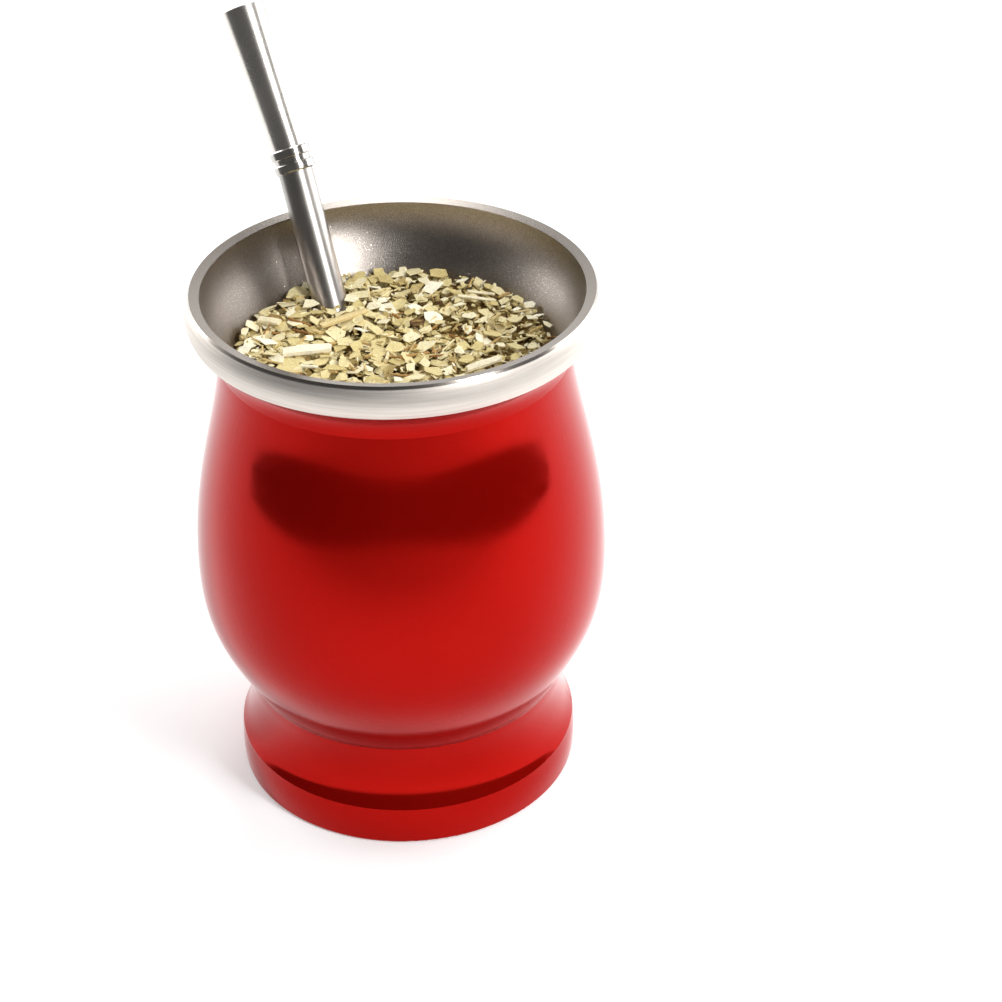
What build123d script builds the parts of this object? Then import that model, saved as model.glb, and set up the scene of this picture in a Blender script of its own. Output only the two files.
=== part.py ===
"""Double-wall steel mate cup, filled with dry yerba mate, with a steel drinking straw.

All sizes are in millimetres. +Z is up, and the origin is the middle of the underside of the base.
Every round piece of the cup is turned about Z, so its outline is written as (radius, height) points.
"""
from build123d import *
import math
import os

# ---- cup: outer shell -------------------------------------------------------
shell_wall = 0.6            # sheet thickness of the red outer shell
foot_height = 8.8           # height of the crisp edge at the top of the foot band
foot_edge_radius = 36.0
foot_bulge = 0.3            # how far the foot band stands out between its edges
foot_bottom_radius = 36.1
foot_corner = 0.8           # rounding where the foot band meets the ground
waist_radius = 33.7         # crease between the foot and the belly
waist_height = 23.0
waist_hollow = 0.3          # how far the flare draws in just under the crease
flare_slope = 33            # degrees from upright at the flare's lower edge
belly_radius = 42.6
belly_height = 52.5
neck_radius = 35.3          # crease between the belly and the neck cove
neck_height = 98.2
cove_height = 7.2           # height of the cove that flares out under the rim band
collar_clearance = 0.1      # between the shell's collar and the rim band round it

# ---- cup: steel bowl with its rolled rim ------------------------------------
bowl_wall = 0.6
lip_height = 112.3          # top of the cup
lip_radius = 40.0
lip_width = 2.0
lip_drop = 0.45             # how much lower the lip's inner edge is
band_height = 6.8
band_bottom_radius = 40.3
band_bulge = 0.95
band_wall = 0.8
lip_thickness = 1.0         # metal over the slot that takes the shell's collar
mouth_depth = 18.5          # from the lip's inner edge down to the throat
throat_radius = 30.6
bowl_belly_radius = 34.4
bowl_belly_height = 62.0
bowl_floor_height = 19.0
bowl_floor_radius = 16.0

# ---- cup: base plate --------------------------------------------------------
base_plate_thickness = 0.8

# ---- filling ----------------------------------------------------------------
fill_depth = 13.4           # from the lip down to the mean level of the leaves
fill_relief = 0.55          # height of the uneven surface, either way
fill_grid = 13              # points each way that shape the uneven surface

# ---- straw ------------------------------------------------------------------
tube_diameter = 7.2
tube_wall = 0.5
tube_end_height = 24.5      # height of the tube's lower end inside the bowl
tube_lean = 31.0            # degrees from upright
tube_heading = 115.3        # direction of the lean, degrees from +X
straw_entry = Vector(-12.96, 19.59, 98.3)   # where the tube's axis meets the leaves
entry_to_collar = 30.2      # along the tube, up to the middle of the collar
mouthpiece_lean = 30.0
mouthpiece_heading = 123.5
ring_diameter = 8.55
ring_length = 1.95
groove_length = 1.0
groove_diameter = 7.5
ring_edge = 0.25            # rounding of each ring's corners
mouthpiece_length = 29.8
mouthpiece_low_diameter = 7.1
mouthpiece_top_diameter = 8.85
mouthpiece_wall = 0.5


def turned(outline):
    """Solid made by turning a closed outline in the XZ plane about Z."""
    face = Face(Wire(outline))
    solid = revolve(face, Axis.Z, 360)
    return solid.solids()[0]


def at(radius, height):
    """Point of an outline."""
    return Vector(radius, 0, height)


def straight(*points):
    """Straight edges through the given points."""
    return [Edge.make_line(a, b) for a, b in zip(points, points[1:])]


def largest(shape):
    """The largest solid of a shape."""
    return max(shape.solids(), key=lambda solid: solid.volume)


def beside(edge, distance, count, start=0):
    """Smooth edge that runs beside a downward one, further from the axis by distance."""
    points = []
    for step in range(count + 1):
        share = start + (1 - start) * step / count
        direction = edge.tangent_at(share)
        normal = Vector(-direction.Z, 0, direction.X)
        points.append(edge.position_at(share) + normal * distance)
    return Edge.make_spline(points)


# ---- outlines that two pieces share -----------------------------------------
lip_inner_radius = lip_radius - lip_width
lip_inner_height = lip_height - lip_drop
band_bottom_height = lip_height - band_height
collar_outer_radius = band_bottom_radius - band_wall - collar_clearance
collar_top_height = lip_inner_height - lip_thickness
cove_radius = (
    (collar_outer_radius - neck_radius) ** 2 + cove_height**2
) / (2 * (collar_outer_radius - neck_radius))
foot_inner_radius = foot_edge_radius - shell_wall - 0.2
mean_fill_height = lip_height - fill_depth


def belly_outline():
    """Outer belly, from the neck crease down to the waist crease."""
    rise = neck_height - belly_height
    drop = belly_height - waist_height
    upper = belly_radius - neck_radius
    lower = belly_radius - waist_radius
    return Edge.make_spline(
        [
            at(neck_radius, neck_height),
            at(neck_radius + 0.15 * upper, belly_height + 0.83 * rise),
            at(neck_radius + 0.50 * upper, belly_height + 0.58 * rise),
            at(neck_radius + 0.87 * upper, belly_height + 0.27 * rise),
            at(belly_radius, belly_height),
            at(waist_radius + 0.83 * lower, waist_height + 0.52 * drop),
            at(waist_radius + 0.41 * lower, waist_height + 0.23 * drop),
            at(waist_radius, waist_height),
        ]
    )


def flare_outline():
    """Foot flare, from the waist crease down to the edge of the foot band."""
    drop = waist_height - foot_height
    flare = foot_edge_radius - waist_radius
    slope = math.tan(math.radians(flare_slope))
    return Edge.make_spline(
        [
            at(waist_radius, waist_height),
            at(waist_radius - waist_hollow, foot_height + 0.72 * drop),
            at(waist_radius + 0.15 * flare, foot_height + 0.34 * drop),
            at(foot_edge_radius, foot_height),
        ],
        tangents=[Vector(-0.1, 0, -1), Vector(slope, 0, -1)],
    )


def cove_outline(shift):
    """Quarter-round cove of the neck, moved towards the axis by shift."""
    centre_radius = neck_radius + cove_radius
    radius = cove_radius + shift
    half_turn = math.asin(cove_height / cove_radius)
    angles = [math.pi, math.pi - half_turn / 2, math.pi - half_turn]
    points = [
        at(centre_radius + radius * math.cos(a), neck_height + radius * math.sin(a)) for a in angles
    ]
    return Edge.make_three_point_arc(*points)


def bowl_outline():
    """Inner face of the steel bowl: its mouth, the widening under the throat, and its round bottom."""
    throat_height = lip_inner_height - mouth_depth
    flare = lip_inner_radius - throat_radius
    down = Vector(0, 0, -1)
    inward = Vector(-1, 0, 0)
    mouth = Edge.make_spline(
        [
            at(lip_inner_radius, lip_inner_height),
            at(lip_inner_radius - 0.04 * flare, throat_height + 0.83 * mouth_depth),
            at(lip_inner_radius - 0.25 * flare, throat_height + 0.61 * mouth_depth),
            at(lip_inner_radius - 0.64 * flare, throat_height + 0.38 * mouth_depth),
            at(lip_inner_radius - 0.92 * flare, throat_height + 0.18 * mouth_depth),
            at(throat_radius, throat_height),
        ],
        tangents=[down, down],
    )
    widening = Edge.make_spline(
        [at(throat_radius, throat_height), at(bowl_belly_radius, bowl_belly_height)],
        tangents=[down, down],
    )
    steps = 8
    quarter = [math.pi / 2 * step / steps for step in range(steps + 1)]
    across = bowl_belly_radius - bowl_floor_radius
    deep = bowl_belly_height - bowl_floor_height
    bottom = Edge.make_spline(
        [
            at(bowl_floor_radius + across * math.cos(a), bowl_belly_height - deep * math.sin(a))
            for a in quarter
        ],
        tangents=[down, inward],
    )
    return [mouth, widening, bottom]


# ---- pieces of the cup ------------------------------------------------------
def make_outer_shell():
    """Red shell: collar, neck cove, belly, waist, flared foot and foot band."""
    cove = cove_outline(0)
    cove_inside = cove_outline(shell_wall)
    belly = belly_outline()
    belly_inside = beside(belly, -shell_wall, 14)
    flare = flare_outline()
    flare_inside = beside(flare, -shell_wall, 8)
    shoulder = cove.position_at(1)
    shoulder_inside = cove_inside.position_at(1)
    neck_inside = cove_inside.position_at(0)
    collar_inner_radius = collar_outer_radius - shell_wall
    bulge_radius = foot_edge_radius + foot_bulge
    foot_side = Edge.make_three_point_arc(
        at(foot_edge_radius, foot_height),
        at(bulge_radius, foot_height / 2),
        at(foot_bottom_radius, foot_corner),
    )
    foot_round = Edge.make_three_point_arc(
        at(foot_bottom_radius, foot_corner),
        at(foot_bottom_radius - 0.29 * foot_corner, 0.29 * foot_corner),
        at(foot_bottom_radius - foot_corner, 0),
    )
    outline = straight(
        at(collar_inner_radius, collar_top_height),
        at(collar_outer_radius, collar_top_height),
        shoulder,
    )
    outline += [cove, belly, flare, foot_side, foot_round]
    outline += straight(
        at(foot_bottom_radius - foot_corner, 0),
        at(foot_inner_radius, 0),
        at(foot_inner_radius, foot_height - 1.5),
        flare_inside.position_at(1),
    )
    outline += [flare_inside]
    outline += straight(flare_inside.position_at(0), belly_inside.position_at(1))
    outline += [belly_inside]
    outline += straight(belly_inside.position_at(0), neck_inside)
    outline += [cove_inside]
    outline += straight(
        shoulder_inside,
        at(collar_inner_radius, shoulder_inside.Z + shell_wall),
        at(collar_inner_radius, collar_top_height),
    )
    return turned(outline)


def make_steel_bowl():
    """Steel bowl, its lip, and the rim band folded down over the shell's collar."""
    inside = bowl_outline()
    mouth, widening, bottom = inside
    below_lip = 2 * lip_thickness / mouth.length
    mouth_outside = beside(mouth, bowl_wall, 10, start=below_lip)
    outside = [mouth_outside, beside(widening, bowl_wall, 8), beside(bottom, bowl_wall, 8)]
    slot_outer_radius = band_bottom_radius - band_wall
    band_face = Edge.make_three_point_arc(
        at(band_bottom_radius, band_bottom_height),
        at(band_bottom_radius + band_bulge - 0.1, band_bottom_height + 0.5 * band_height),
        at(lip_radius, lip_height),
    )
    outline = [band_face]
    outline += straight(at(lip_radius, lip_height), at(lip_inner_radius, lip_inner_height))
    outline += inside
    outline += straight(
        at(bowl_floor_radius, bowl_floor_height),
        at(0, bowl_floor_height),
        at(0, bowl_floor_height - bowl_wall),
        at(bowl_floor_radius, bowl_floor_height - bowl_wall),
    )
    outline += outside
    outline += straight(
        mouth_outside.position_at(0),
        at(lip_inner_radius + bowl_wall, collar_top_height),
        at(slot_outer_radius, collar_top_height),
        at(slot_outer_radius, band_bottom_height),
        at(band_bottom_radius, band_bottom_height),
    )
    return turned(outline)


def make_base_plate():
    """Flat plate that closes the foot, flush with the ground."""
    return Solid.make_cylinder(foot_inner_radius, base_plate_thickness)


# ---- straw ------------------------------------------------------------------
def heading(lean, direction):
    """Unit vector that leans from upright in the given direction, both in degrees."""
    level = math.sin(math.radians(lean))
    return Vector(
        level * math.cos(math.radians(direction)),
        level * math.sin(math.radians(direction)),
        math.cos(math.radians(lean)),
    )


tube_axis = heading(tube_lean, tube_heading)
mouthpiece_axis = heading(mouthpiece_lean, mouthpiece_heading)
collar_middle = straw_entry + tube_axis * entry_to_collar
collar_length = 2 * ring_length + groove_length
collar_bottom = collar_middle - mouthpiece_axis * (collar_length / 2)
collar_top = collar_middle + mouthpiece_axis * (collar_length / 2)
tube_bottom = straw_entry - tube_axis * ((straw_entry.Z - tube_end_height) / tube_axis.Z)
bore_radius = tube_diameter / 2 - tube_wall


def placed(solid, origin, axis):
    """A solid made on Z at the origin, moved so that its foot is at origin and its Z is axis."""
    return solid.moved(Plane(origin=origin, z_dir=axis).location)


def tube_blank(radius):
    """Bar on the tube's axis, from its lower end to the collar's lower face."""
    reach = (collar_bottom - tube_bottom).length + 2 * tube_diameter
    bar = placed(Solid.make_cylinder(radius, reach), tube_bottom, tube_axis)
    block = placed(
        Solid.make_cylinder(3 * tube_diameter, 4 * tube_diameter), collar_bottom, mouthpiece_axis
    )
    return bar.cut(block)


def make_straw_tube():
    """Round tube of the straw, open at both ends."""
    tube = tube_blank(tube_diameter / 2).cut(tube_blank(bore_radius))
    return tube.solids()[0]


def make_straw_collar():
    """Collar of two rings with a groove between them."""
    ring = ring_diameter / 2
    groove = groove_diameter / 2
    top = collar_length
    edge = ring_edge
    outline = straight(
        at(bore_radius, 0),
        at(ring - edge, 0),
        at(ring, edge),
        at(ring, ring_length - edge),
        at(ring - edge, ring_length),
        at(groove, ring_length),
        at(groove, top - ring_length),
        at(ring - edge, top - ring_length),
        at(ring, top - ring_length + edge),
        at(ring, top - edge),
        at(ring - edge, top),
        at(bore_radius, top),
        at(bore_radius, 0),
    )
    return placed(turned(outline), collar_bottom, mouthpiece_axis)


def make_straw_mouthpiece():
    """Flared mouthpiece on the collar, with a softly rounded end."""
    low = mouthpiece_low_diameter / 2
    top = mouthpiece_top_diameter / 2
    wall = mouthpiece_wall
    length = mouthpiece_length
    middle = (low + top) / 2 - 0.12
    outside = Edge.make_spline([at(low, 0), at(middle, length / 2), at(top, length - wall / 2)])
    rounded = Edge.make_three_point_arc(
        at(top, length - wall / 2), at(top - wall / 2, length), at(top - wall, length - wall / 2)
    )
    inside = Edge.make_spline(
        [at(top - wall, length - wall / 2), at(middle - wall, length / 2), at(low - wall, 0)]
    )
    outline = straight(at(low - wall, 0), at(low, 0)) + [outside, rounded, inside]
    return placed(turned(outline), collar_top, mouthpiece_axis)


# ---- filling ----------------------------------------------------------------
def fill_level(x, y):
    """Height of the leaves at a place, above their mean level."""
    wave = math.sin(0.21 * x + 0.9) * math.cos(0.17 * y - 0.4)
    ripple = 0.5 * math.sin(0.37 * x - 0.31 * y + 1.7)
    crown = 1 - (x * x + y * y) / throat_radius**2
    return fill_relief * (0.6 * wave + 0.4 * ripple + 0.5 * crown)


def make_yerba():
    """Leaves that fill the bowl up to an uneven surface, cut round the straw."""
    half = 1.4 * throat_radius
    rows = []
    for i in range(fill_grid):
        x = half * (2 * i / (fill_grid - 1) - 1)
        row = []
        for j in range(fill_grid):
            y = half * (2 * j / (fill_grid - 1) - 1)
            row.append(Vector(x, y, mean_fill_height + fill_level(x, y)))
        rows.append(row)
    surface = Face.make_surface_from_array_of_points(rows)
    below = Solid.extrude(surface, Vector(0, 0, -mean_fill_height))
    outline = bowl_outline()
    outline += straight(
        at(bowl_floor_radius, bowl_floor_height),
        at(0, bowl_floor_height),
        at(0, lip_inner_height),
        at(lip_inner_radius, lip_inner_height),
    )
    filled = largest(turned(outline) & below)
    return largest(filled - tube_blank(tube_diameter / 2))


def main():
    os.makedirs("parts", exist_ok=True)
    pieces = {
        "outer_shell": make_outer_shell(),
        "steel_bowl": make_steel_bowl(),
        "base_plate": make_base_plate(),
        "yerba": make_yerba(),
        "straw_tube": make_straw_tube(),
        "straw_collar": make_straw_collar(),
        "straw_mouthpiece": make_straw_mouthpiece(),
    }
    for name, piece in pieces.items():
        piece.label = name
        export_step(piece, f"parts/{name}.step")
        print(name, round(piece.volume, 1), "mm3", piece.is_valid)


main()
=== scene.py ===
"""Looks of the steel mate cup: red lacquered shell, steel bowl, dry leaf filling and straw."""

import math
import random

import bmesh
import bpy
from mathutils import Matrix, Vector, noise
from mathutils.bvhtree import BVHTree


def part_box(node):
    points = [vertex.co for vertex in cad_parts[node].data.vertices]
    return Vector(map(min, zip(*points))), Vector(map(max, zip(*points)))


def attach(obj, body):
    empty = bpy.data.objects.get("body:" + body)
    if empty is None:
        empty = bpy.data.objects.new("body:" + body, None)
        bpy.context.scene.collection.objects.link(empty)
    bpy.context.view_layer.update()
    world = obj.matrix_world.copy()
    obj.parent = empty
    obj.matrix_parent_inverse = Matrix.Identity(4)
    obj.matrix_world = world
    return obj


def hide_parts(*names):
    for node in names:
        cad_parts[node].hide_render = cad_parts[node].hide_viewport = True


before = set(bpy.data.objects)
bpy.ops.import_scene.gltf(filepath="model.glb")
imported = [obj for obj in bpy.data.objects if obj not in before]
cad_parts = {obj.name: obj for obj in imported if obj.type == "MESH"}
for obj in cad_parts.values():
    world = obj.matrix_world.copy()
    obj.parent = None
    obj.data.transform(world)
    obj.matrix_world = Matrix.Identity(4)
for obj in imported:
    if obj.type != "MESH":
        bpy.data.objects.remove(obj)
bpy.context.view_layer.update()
MM = 0.001


# ---------------------------------------------------------------- camera

CAMERA_PLACE = Vector((0, -0.41963, 0.33133))
CAMERA_PITCH = math.radians(32.77)
CAMERA_YAW = math.radians(2.84)
CAMERA_ROLL = math.radians(-0.56)


def set_camera():
    """Camera in front of the cup, looking down into it."""
    data = bpy.data.cameras.new("camera")
    data.sensor_width = 36
    data.lens = 86.23
    data.clip_start = 0.01
    camera = bpy.data.objects.new("camera", data)
    bpy.context.scene.collection.objects.link(camera)
    camera.matrix_world = (
        Matrix.Translation(CAMERA_PLACE)
        @ Matrix.Rotation(-CAMERA_YAW, 4, "Z")
        @ Matrix.Rotation(math.pi / 2 - CAMERA_PITCH, 4, "X")
        @ Matrix.Rotation(CAMERA_ROLL, 4, "Z")
    )
    bpy.context.scene.camera = camera


# ---------------------------------------------------------------- shader maths


class Shade:
    """One socket of a material's nodes; sums and products of such values add Math nodes."""

    def __init__(self, tree, socket):
        self.tree = tree
        self.socket = socket

    def node(self, kind, settings=None, **values):
        """New node of a kind, its settings made first, then the values or links of its sockets."""
        made = self.tree.nodes.new(kind)
        for name, value in (settings or {}).items():
            if name == "stops":
                ramp = made.color_ramp
                while len(ramp.elements) < len(value):
                    ramp.elements.new(0.5)
                for element, (place, colour) in zip(ramp.elements, value):
                    element.position = place
                    element.color = (*colour, 1)
            else:
                setattr(made, name, value)
        for name, value in values.items():
            key = int(name[1:]) if name[0] == "i" and name[1:].isdigit() else name.replace("_", " ")
            if isinstance(value, Shade):
                self.tree.links.new(value.socket, made.inputs[key])
            else:
                made.inputs[key].default_value = value
        return made

    def out(self, made, name=0):
        return Shade(self.tree, made.outputs[name])

    def math(self, operation, *values, clamp=False):
        made = self.node(
            "ShaderNodeMath",
            {"operation": operation, "use_clamp": clamp},
            **{f"i{place}": value for place, value in enumerate(values)},
        )
        return self.out(made)

    def __add__(self, other):
        return self.math("ADD", self, other)

    def __radd__(self, other):
        return self.math("ADD", other, self)

    def __sub__(self, other):
        return self.math("SUBTRACT", self, other)

    def __rsub__(self, other):
        return self.math("SUBTRACT", other, self)

    def __mul__(self, other):
        return self.math("MULTIPLY", self, other)

    def __rmul__(self, other):
        return self.math("MULTIPLY", other, self)

    def smooth(self, low, high):
        """0 below low, 1 above high, and a soft change between."""
        made = self.node(
            "ShaderNodeMapRange",
            {"interpolation_type": "SMOOTHSTEP"},
            Value=self,
            From_Min=low,
            From_Max=high,
        )
        return self.out(made)

    def ramp(self, *stops):
        made = self.node("ShaderNodeValToRGB", {"stops": stops}, Fac=self)
        return self.out(made)


class Finish:
    """A material with one Principled shader, and the coordinates that its patterns follow."""

    def __init__(self, name):
        self.material = bpy.data.materials.new(name)
        self.material.use_nodes = True
        self.tree = self.material.node_tree
        self.shader = self.tree.nodes["Principled BSDF"]
        self.start = Shade(self.tree, None)
        coordinates = self.start.node("ShaderNodeTexCoord")
        self.place = Shade(self.tree, coordinates.outputs["Object"])
        split = self.start.node("ShaderNodeSeparateXYZ", Vector=self.place)
        self.x, self.y, self.z = (Shade(self.tree, split.outputs[axis]) for axis in "XYZ")

    def radius(self):
        """Distance from the cup's axis."""
        return self.start.math("SQRT", self.x * self.x + self.y * self.y)

    def angle(self):
        """Angle round the cup's axis."""
        return self.start.math("ARCTAN2", self.y, self.x)

    def vector(self, x, y, z):
        made = self.start.node("ShaderNodeCombineXYZ", X=x, Y=y, Z=z)
        return self.start.out(made)

    def noise(self, scale, detail=2.0, rough=0.5, place=None):
        made = self.start.node(
            "ShaderNodeTexNoise",
            Vector=place or self.place,
            Scale=scale,
            Detail=detail,
            Roughness=rough,
        )
        return self.start.out(made, "Fac")

    def cells(self, scale, place=None):
        made = self.start.node("ShaderNodeTexVoronoi", Vector=place or self.place, Scale=scale)
        return self.start.out(made, "Distance")

    def attribute(self, name):
        made = self.start.node("ShaderNodeAttribute", {"attribute_name": name})
        return self.start.out(made, "Fac")

    def mix(self, share, first, second):
        """Colour between two colours."""
        made = self.start.node(
            "ShaderNodeMix", {"data_type": "RGBA"}, i0=share, i6=first, i7=second
        )
        return self.start.out(made, 2)

    def tint(self, colour, amount):
        """Colour times a value."""
        made = self.start.node(
            "ShaderNodeVectorMath", {"operation": "SCALE"}, i0=colour, Scale=amount
        )
        return self.start.out(made)

    def bump(self, height, strength, distance, below=None):
        values = {"Height": height, "Strength": strength, "Distance": distance}
        if below:
            values["Normal"] = below
        made = self.start.node("ShaderNodeBump", **values)
        return self.start.out(made)

    def set(self, **values):
        for name, value in values.items():
            socket = self.shader.inputs[name.replace("_", " ")]
            if isinstance(value, Shade):
                self.tree.links.new(value.socket, socket)
            else:
                socket.default_value = value
        return self


def rgb(red, green, blue):
    """Linear colour with alpha from the usual 0 to 255 values."""

    def linear(value):
        value /= 255
        return value / 12.92 if value < 0.04045 else ((value + 0.055) / 1.055) ** 2.4

    return (linear(red), linear(green), linear(blue), 1)


# ---------------------------------------------------------------- finishes

LIP_BOTTOM = 111.55 * MM
BAND_INNER_RADIUS = 39.6 * MM
RED_DEEP = (0.41, 0.0032, 0.0012, 1)
RED_BRIGHT = (0.44, 0.0042, 0.0018, 1)


def red_lacquer():
    """Clear red lacquer over bright metal."""
    finish = Finish("red_lacquer")
    cloud = finish.noise(18, 3)
    ripple = finish.noise(60, 2)
    haze = finish.noise(240, 4).smooth(0.5, 0.8)
    finish.set(
        Base_Color=finish.mix(cloud.smooth(0.3, 0.75), RED_DEEP, RED_BRIGHT),
        Roughness=0.10 + haze * 0.03,
        Metallic=0.66,
        Specular_IOR_Level=0.12,
        Normal=finish.bump(ripple, 0.04, 0.0003),
    )
    return finish.material


def bowl_steel():
    """Blasted inside, brushed band and polished lip on one node."""
    finish = Finish("bowl_steel")
    radius = finish.radius()
    lip = finish.z.smooth(LIP_BOTTOM, LIP_BOTTOM + 0.3 * MM)
    band = radius.smooth(BAND_INNER_RADIUS, BAND_INNER_RADIUS + 0.4 * MM)
    around = finish.angle()
    streak_place = finish.vector(around * 2.2, radius * 40, finish.z * 2600)
    streaks = finish.noise(1.0, 3, 0.6, streak_place)
    grain = finish.noise(3800, 2, 0.6)
    # Glint cells: a little smoother, and painted highlights in the colour (near-white specks).
    glints = finish.cells(3400).smooth(0.2, 0.1)
    inside_rough = 0.24 + grain * 0.12 - glints * 0.12
    band_rough = 0.5 + streaks * 0.12
    rough = inside_rough * (1 - band) + band_rough * band
    rough = rough * (1 - lip) + lip * 0.22
    inside_colour = finish.mix(grain.smooth(0.3, 0.7), rgb(156, 147, 139), rgb(182, 173, 165))
    # Painted highlight: the glint cells turn the inside colour near white.
    inside_colour = finish.mix(glints, inside_colour, rgb(255, 253, 250))
    band_colour = finish.mix(streaks.smooth(0.3, 0.7), rgb(222, 214, 206), rgb(238, 231, 224))
    colour = finish.mix(band, inside_colour, band_colour)
    colour = finish.mix(lip, colour, rgb(184, 176, 168))
    grain_bump = finish.bump(grain * (1 - band) * (1 - lip), 0.5, 0.00014)
    band_bump = finish.bump(streaks * band * (1 - lip), 0.3, 0.00008, grain_bump)
    finish.set(Base_Color=colour, Metallic=1.0, Roughness=rough, Normal=band_bump)
    return finish.material


def base_steel():
    """Steel turned in fine rings, on the underside."""
    finish = Finish("base_steel")
    rings = finish.noise(1.0, 2, 0.6, finish.vector(finish.radius() * 2400, finish.angle(), 0.0))
    finish.set(
        Base_Color=finish.mix(rings, rgb(186, 180, 174), rgb(214, 208, 202)),
        Metallic=1.0,
        Roughness=0.3 + rings * 0.15,
        Normal=finish.bump(rings, 0.2, 0.0001),
    )
    return finish.material


def straw_steel(name, low, high, tone):
    """Smeared steel, its roughness between two values and its colour times a tone."""
    finish = Finish(name)
    smear = finish.noise(90, 3, 0.6)
    finish.set(
        Base_Color=finish.tint(finish.mix(smear, rgb(196, 190, 184), rgb(216, 211, 205)), tone),
        Metallic=1.0,
        Roughness=low + smear * (high - low),
    )
    return finish.material


def leaf_finish(name, stops, roughness=0.75):
    """Dry plant matter: each piece has its own shade, with veins and specks."""
    finish = Finish(name)
    shade = finish.attribute("shade")
    veins = finish.noise(900, 3, 0.65)
    specks = finish.noise(2600, 2, 0.5)
    colour = (shade + (veins - 0.5) * 0.28).ramp(*stops)
    colour = finish.tint(colour, 0.72 + specks * 0.56)
    finish.set(
        Base_Color=colour,
        Roughness=roughness,
        Specular_IOR_Level=0.25,
        Normal=finish.bump(veins + specks * 0.4, 0.5, 0.0003),
    )
    return finish.material


LEAF_STOPS = (
    (0.0, rgb(92, 62, 34)[:3]),
    (0.14, rgb(164, 138, 82)[:3]),
    (0.4, rgb(216, 198, 136)[:3]),
    (0.7, rgb(236, 223, 176)[:3]),
    (1.0, rgb(252, 246, 220)[:3]),
)
STEM_STOPS = (
    (0.0, rgb(150, 104, 52)[:3]),
    (0.3, rgb(206, 176, 112)[:3]),
    (0.6, rgb(232, 216, 166)[:3]),
    (1.0, rgb(250, 242, 216)[:3]),
)
# Dark browns of the packed dust under the flakes: partly its own tone, partly painted shade in the
# gaps between the flakes.
DUST_AND_PAINTED_SHADE_STOPS = (
    (0.0, rgb(62, 42, 16)[:3]),
    (0.5, rgb(124, 100, 50)[:3]),
    (1.0, rgb(190, 168, 106)[:3]),
)


# ---------------------------------------------------------------- meshes


def piece(name, mesh, material):
    """Object of a mesh that rides on the cup, with one material."""
    made = bpy.data.objects.new(name, mesh)
    bpy.context.scene.collection.objects.link(made)
    mesh.materials.clear()
    mesh.materials.append(material)
    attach(made, "root")
    return made


def flake_shape(draw, curved):
    """Thin torn scrap of leaf about 1 long, lying flat, with sharp corners."""
    shape = bmesh.new()
    corners = draw.choice((4, 5, 5, 6, 7))
    bmesh.ops.create_circle(shape, cap_ends=True, segments=corners, radius=0.5)
    width = draw.uniform(0.45, 0.95)
    for vertex in shape.verts:
        turn = Matrix.Rotation(draw.uniform(-0.32, 0.32), 3, "Z")
        vertex.co = turn @ (vertex.co * draw.uniform(0.62, 1.18))
        vertex.co.y *= width
    if curved:
        bmesh.ops.inset_region(shape, faces=shape.faces[:], thickness=0.13 * width)
    curl, fold = draw.uniform(-0.3, 0.3), draw.uniform(-0.5, 0.5)
    for vertex in shape.verts:
        vertex.co.z = (
            curl * vertex.co.x**2 + fold * vertex.co.y**2 / width + draw.uniform(-0.025, 0.025)
        )
    bmesh.ops.solidify(shape, geom=shape.faces[:], thickness=0.045)
    bmesh.ops.recalc_face_normals(shape, faces=shape.faces)
    mesh = bpy.data.meshes.new("flake_shape")
    shape.to_mesh(mesh)
    shape.free()
    return mesh


def stem_shape(draw):
    """Broken stem 1 long along X, a bit bent, with ragged ends."""
    shape = bmesh.new()
    bmesh.ops.create_cone(
        shape, cap_ends=True, segments=7, radius1=0.5, radius2=0.42, depth=1,
        matrix=Matrix.Rotation(math.pi / 2, 4, "Y"),
    )
    long_edges = [e for e in shape.edges if abs(e.verts[0].co.x - e.verts[1].co.x) > 0.5]
    bmesh.ops.subdivide_edges(shape, edges=long_edges, cuts=4)
    bend, twist = draw.uniform(-0.08, 0.08), draw.uniform(0, 6)
    for vertex in shape.verts:
        share = vertex.co.x
        vertex.co.y *= 1 + 0.14 * math.sin(5 * share + twist)
        vertex.co.z *= 0.82 + 0.12 * math.cos(7 * share + twist)
        if abs(share) > 0.45:
            vertex.co.x += draw.uniform(-0.035, 0.035)
        vertex.co.y += bend * (4 * share * share - 1)
    mesh = bpy.data.meshes.new("stem_shape")
    shape.to_mesh(mesh)
    shape.free()
    return mesh


class Heap:
    """Many small shapes gathered in one mesh, each with its own shade."""

    def __init__(self):
        self.gathered = bmesh.new()
        self.shade = self.gathered.verts.layers.float.new("shade")

    def add(self, mesh, matrix, shade):
        first = len(self.gathered.verts)
        self.gathered.from_mesh(mesh)
        self.gathered.verts.ensure_lookup_table()
        for vertex in self.gathered.verts[first:]:
            vertex.co = matrix @ vertex.co
            vertex[self.shade] = shade

    def piece(self, name, material, slot):
        mesh = bpy.data.meshes.new(name)
        self.gathered.to_mesh(mesh)
        self.gathered.free()
        return piece(name, mesh, material)


# ---------------------------------------------------------------- leaf filling

leaf_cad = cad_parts["yerba"]
leaf_low, leaf_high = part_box("yerba")
made_so_far = bpy.context.evaluated_depsgraph_get()
leaf_surface = BVHTree.FromObject(leaf_cad, made_so_far)
bowl_surface = BVHTree.FromObject(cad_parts["steel_bowl"], made_so_far)
DOWN = Vector((0, 0, -1))
TUBE_RADIUS = 3.6 * MM
TUBE_FOOT = Vector((-12.96, 19.59, 98.3)) * MM
TUBE_AXIS = Vector((-0.220, 0.466, 0.857)).normalized()


def leaf_level(x, y):
    """Height of the heap's top at a place."""
    hit = leaf_surface.ray_cast(Vector((x, y, leaf_high.z + 0.01)), DOWN)
    return hit[0].z if hit[0] else leaf_high.z - 0.0005


def from_straw(point):
    """Distance from the tube's axis."""
    offset = point - TUBE_FOOT
    return (offset - TUBE_AXIS * offset.dot(TUBE_AXIS)).length


def wall_gap(point):
    """Distance from a place inside the bowl to its wall."""
    found = bowl_surface.find_nearest(point)
    return found[3]


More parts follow.
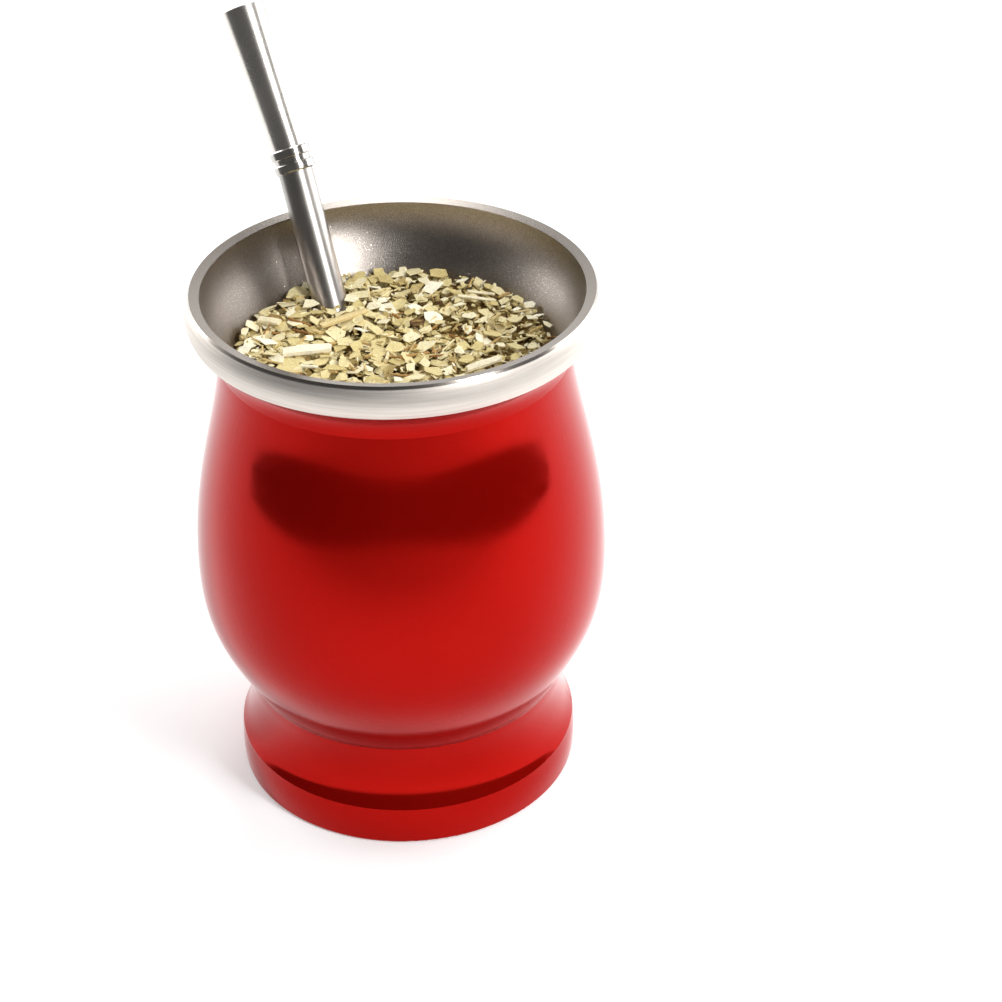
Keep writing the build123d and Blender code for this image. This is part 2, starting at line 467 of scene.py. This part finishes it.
EDGE_RADIUS = 31.2 * MM
FINE_SIDE = 8 * MM           # beyond this x the leaves are finer
FINE_SHARE = 0.78
CORE_GRAIN = 0.9 * MM
CORE_SHARE = 0.985           # the core's width against the plain solid's
CORE_DROP = 1.6 * MM         # how far the core's top lies under the flakes'
CORE_LUMPS = 0.7 * MM


def make_core():
    """Packed dust and small leaf under the flakes, in place of the plain solid; its dark colours
    are partly the dust's own tone and partly painted shade in the gaps between the flakes.
    """
    mesh = leaf_cad.data.copy()
    mesh.name = "yerba_core"
    packed = bmesh.new()
    packed.from_mesh(mesh)
    bmesh.ops.remove_doubles(packed, verts=packed.verts, dist=1e-6)
    packed.to_mesh(mesh)
    packed.free()
    core = piece("yerba_core", mesh, leaf_finish("leaf_dust_painted_shade", DUST_AND_PAINTED_SHADE_STOPS, 0.9))
    remesh = core.modifiers.new("remesh", "REMESH")
    remesh.mode = "VOXEL"
    remesh.voxel_size = CORE_GRAIN
    result = core.evaluated_get(bpy.context.evaluated_depsgraph_get())
    shaped = bpy.data.meshes.new_from_object(result)
    core.modifiers.clear()
    core.data = shaped
    centre = (leaf_low + leaf_high) / 2
    height = leaf_high.z - leaf_low.z
    attribute = shaped.attributes.new("shade", "FLOAT", "POINT")
    for vertex in shaped.vertices:
        share = (vertex.co.z - leaf_low.z) / height
        vertex.co.x = centre.x + (vertex.co.x - centre.x) * CORE_SHARE
        vertex.co.y = centre.y + (vertex.co.y - centre.y) * CORE_SHARE
        vertex.co.z -= share * CORE_DROP
        if share > 0.93:
            lump = noise.noise(vertex.co * 520) + 0.6 * noise.noise(vertex.co * 1100)
            vertex.co.z += lump * CORE_LUMPS
        attribute.data[vertex.index].value = 0.5 + 0.5 * noise.noise(vertex.co * 700)
    for polygon in shaped.polygons:
        polygon.use_smooth = True
    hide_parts("yerba")
    return core


def lay(point, size, heading, tilt, roll):
    """Matrix that lays a unit shape, grown to a size, at a place with a heading."""
    return (
        Matrix.Translation(point)
        @ Matrix.Rotation(heading, 4, "Z")
        @ Matrix.Rotation(tilt, 4, "Y")
        @ Matrix.Rotation(roll, 4, "X")
        @ Matrix.Diagonal((*size, 1))
    )


def free_of_walls(point, reach):
    """True where a scrap of that reach clears the bowl and the straw."""
    return wall_gap(point) > reach and from_straw(point) > TUBE_RADIUS + reach


def scatter(draw, count, lengths, levels, spacing=0.0, reach=0.34):
    """Places over the heap, with a length for each, clear of the wall and the straw."""
    found = []
    tries = 0
    while len(found) < count and tries < 40 * count:
        tries += 1
        radius = EDGE_RADIUS * math.sqrt(draw.random())
        angle = draw.uniform(0, 2 * math.pi)
        x, y = radius * math.cos(angle), radius * math.sin(angle)
        length = draw.uniform(*lengths) * MM
        if x > FINE_SIDE:
            length *= FINE_SHARE
        point = Vector((x, y, leaf_level(x, y) + draw.uniform(*levels) * MM))
        crowded = spacing and any((point - other).length < spacing * MM for other, _ in found)
        if not crowded and free_of_walls(point, reach * length):
            found.append((point, length))
    return found


def between(value):
    return min(max(value, 0.0), 1.0)


def make_flakes():
    """Layers of leaf scraps, small below and large on top; the deeper layers get darker shades and
    the top ones paler, as painted shade in the gaps between the flakes.
    """
    draw = random.Random(41)
    plain = [flake_shape(draw, False) for _ in range(14)]
    curved = [flake_shape(draw, True) for _ in range(18)]
    heap = Heap()
    layers = (
        # shapes, count, lengths, levels, spacing, tilt, shade (lower for deeper layers: painted
        # shade between the flakes)
        (plain, 1500, (1.4, 3.6), (-2.0, -0.7), 0.0, 0.45, 0.30),
        (curved, 720, (2.2, 4.4), (-0.7, 0.2), 0.0, 0.36, 0.52),
        (plain, 620, (0.9, 2.2), (-0.1, 0.7), 0.0, 0.50, 0.55),
        (curved, 230, (3.4, 5.8), (0.4, 1.0), 2.5, 0.19, 0.62),
    )
    for shapes, count, lengths, levels, spacing, tilt, shade in layers:
        for point, length in scatter(draw, count, lengths, levels, spacing):
            heading = draw.uniform(0, 2 * math.pi)
            width = length * draw.uniform(0.75, 1.1)
            height = min(length, 3.5 * MM)
            matrix = lay(
                point, (length, width, height), heading, draw.gauss(0, tilt), draw.gauss(0, tilt)
            )
            heap.add(draw.choice(shapes), matrix, between(draw.gauss(shade, 0.23)))
    heap.piece("yerba_flakes", leaf_finish("leaf_flakes", LEAF_STOPS), "dry_leaf")


CHOSEN_STEMS = (
    # middle (mm), heading (degrees), length, width, shade
    ((-17.4, -4.0), 9, 9.4, 2.9, 0.98),
    ((-10.2, 9.0), 34, 11.0, 1.9, 0.45),
    ((17.2, -11.8), 23, 7.2, 2.1, 0.9),
    ((-25.0, 8.7), -25, 4.4, 2.2, 0.8),
    ((16.7, 15.9), -15, 7.0, 1.0, 0.85),
    ((18.0, 18.0), -21, 5.6, 0.9, 0.8),
    ((-22.0, -12.0), 20, 7.6, 1.2, 0.45),
    ((10.5, -3.0), 60, 5.0, 0.5, 0.6),
)


def make_stems():
    """A few chosen thick stems, and many thin ones at random."""
    draw = random.Random(7)
    shapes = [stem_shape(draw) for _ in range(8)]
    heap = Heap()
    for (x, y), heading, length, width, shade in CHOSEN_STEMS:
        x, y, length, width = x * MM, y * MM, length * MM, width * MM
        point = Vector((x, y, leaf_level(x, y) + 0.7 * MM + 0.3 * width))
        size = (length, width, 0.75 * width)
        matrix = lay(point, size, math.radians(heading), draw.gauss(0, 0.04), 0)
        heap.add(draw.choice(shapes), matrix, shade)
    for point, length in scatter(draw, 330, (1.4, 5.0), (-0.3, 0.8), reach=0.55):
        width = min(length * draw.uniform(0.1, 0.22), 0.8 * MM)
        matrix = lay(
            point, (length, width, width), draw.uniform(0, 2 * math.pi), draw.gauss(0, 0.2),
            draw.uniform(0, 6),
        )
        heap.add(draw.choice(shapes), matrix, between(draw.gauss(0.42, 0.25)))
    heap.piece("yerba_stems", leaf_finish("leaf_stems", STEM_STOPS, 0.6), "dry_leaf")


# ---------------------------------------------------------------- stage


def floor_material(name, shown):
    """Pale floor, greyer far in front; what the camera and mirrors see is lifted by a strength."""
    material = bpy.data.materials.new(name)
    material.use_nodes = True
    tree = material.node_tree
    start = Shade(tree, None)
    shader = tree.nodes["Principled BSDF"]
    coordinates = start.node("ShaderNodeTexCoord")
    split = start.node("ShaderNodeSeparateXYZ", Vector=start.out(coordinates, "Object"))
    near = start.out(split, "Y").smooth(-0.34, -0.09)
    colour = near.ramp((0.0, (0.6, 0.6, 0.6)), (1.0, (0.88, 0.9, 0.9)))
    tree.links.new(colour.socket, shader.inputs["Base Color"])
    shader.inputs["Roughness"].default_value = 0.9
    shader.inputs["Specular IOR Level"].default_value = 0.0
    path = start.node("ShaderNodeLightPath")
    seen = start.math("MAXIMUM", start.out(path, "Is Camera Ray"), start.out(path, "Is Glossy Ray"))
    shader.inputs["Emission Color"].default_value = (1, 1, 1, 1)
    tree.links.new((seen * near * shown).socket, shader.inputs["Emission Strength"])
    return material


def soft_light(name, place, aim, size, power):
    """Rectangular lamp at a place, turned to an aim."""
    data = bpy.data.lights.new(name, "AREA")
    data.shape = "RECTANGLE"
    data.size, data.size_y = size
    data.energy = power
    light = bpy.data.objects.new(name, data)
    bpy.context.scene.collection.objects.link(light)
    light.location = place
    light.rotation_euler = (Vector(aim) - Vector(place)).to_track_quat("-Z", "Y").to_euler()


def set_world(level):
    """Plain light all round. Seen straight it is white; mirrors see a darker room in front."""
    world = bpy.data.worlds.new("world")
    world.use_nodes = True
    bpy.context.scene.world = world
    tree = world.node_tree
    start = Shade(tree, None)
    path = start.node("ShaderNodeLightPath")
    direct = start.math(
        "MAXIMUM", start.out(path, "Is Camera Ray"), start.out(path, "Is Transmission Ray")
    )
    mirrored = start.out(path, "Is Glossy Ray")
    coordinates = start.node("ShaderNodeTexCoord")
    split = start.node("ShaderNodeSeparateXYZ", Vector=start.out(coordinates, "Generated"))
    room = start.out(split, "Y").smooth(0.0, 0.45) * 0.78 + 0.1
    room = room * (1 - start.out(split, "Z").smooth(0.3, 0.75) * 0.6)
    background = tree.nodes["Background"]
    background.inputs["Color"].default_value = (1, 1, 1, 1)
    other = 1 - start.math("MAXIMUM", direct, mirrored)
    strength = direct + mirrored * room + other * level
    tree.links.new(strength.socket, background.inputs["Strength"])


CUP_MIDDLE = (0, 0, 0.06)


def soft_box(name, place, size, brightness):
    """Soft light of an even brightness, turned to the cup."""
    soft_light(name, place, CUP_MIDDLE, size, brightness * math.pi * size[0] * size[1])


def make_floor():
    """Round pale floor, longer behind the cup."""
    shape = bmesh.new()
    bmesh.ops.create_circle(shape, cap_ends=True, segments=96, radius=1)
    for vertex in shape.verts:
        vertex.co.x *= 0.34 if vertex.co.y < 0 else 0.34 + 3 * vertex.co.y
        vertex.co.y *= 0.55 if vertex.co.y < 0 else 4
    mesh = bpy.data.meshes.new("floor")
    shape.to_mesh(mesh)
    shape.free()
    floor = bpy.data.objects.new("floor", mesh)
    bpy.context.scene.collection.objects.link(floor)
    mesh.materials.append(floor_material("floor", 0.27))


def set_stage():
    make_floor()
    set_world(0.28)
    soft_box("left_box", (-0.68, 0.68, 0.42), (0.8, 0.8), 3.1)
    soft_box("right_box", (0.85, 0.38, 0.42), (0.8, 0.8), 3.5)
    soft_box("top_box", (-0.03, 0.45, 1.05), (0.32, 0.5), 7)
    soft_box("bowl_box", (0.47, -0.50, 0.62), (0.13, 0.6), 22)


# ---------------------------------------------------------------- making

bpy.context.scene.view_settings.view_transform = "Standard"
set_camera()
finishes = {
    "outer_shell": red_lacquer(),
    "steel_bowl": bowl_steel(),
    "base_plate": base_steel(),
    "straw_tube": straw_steel("tube_steel", 0.28, 0.38, 0.72),
    "straw_collar": straw_steel("collar_steel", 0.16, 0.24, 0.95),
    "straw_mouthpiece": straw_steel("mouthpiece_steel", 0.22, 0.32, 1.2),
}
for node, material in finishes.items():
    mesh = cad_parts[node].data
    mesh.materials.clear()
    mesh.materials.append(material)
make_core()
make_flakes()
make_stems()
set_stage()
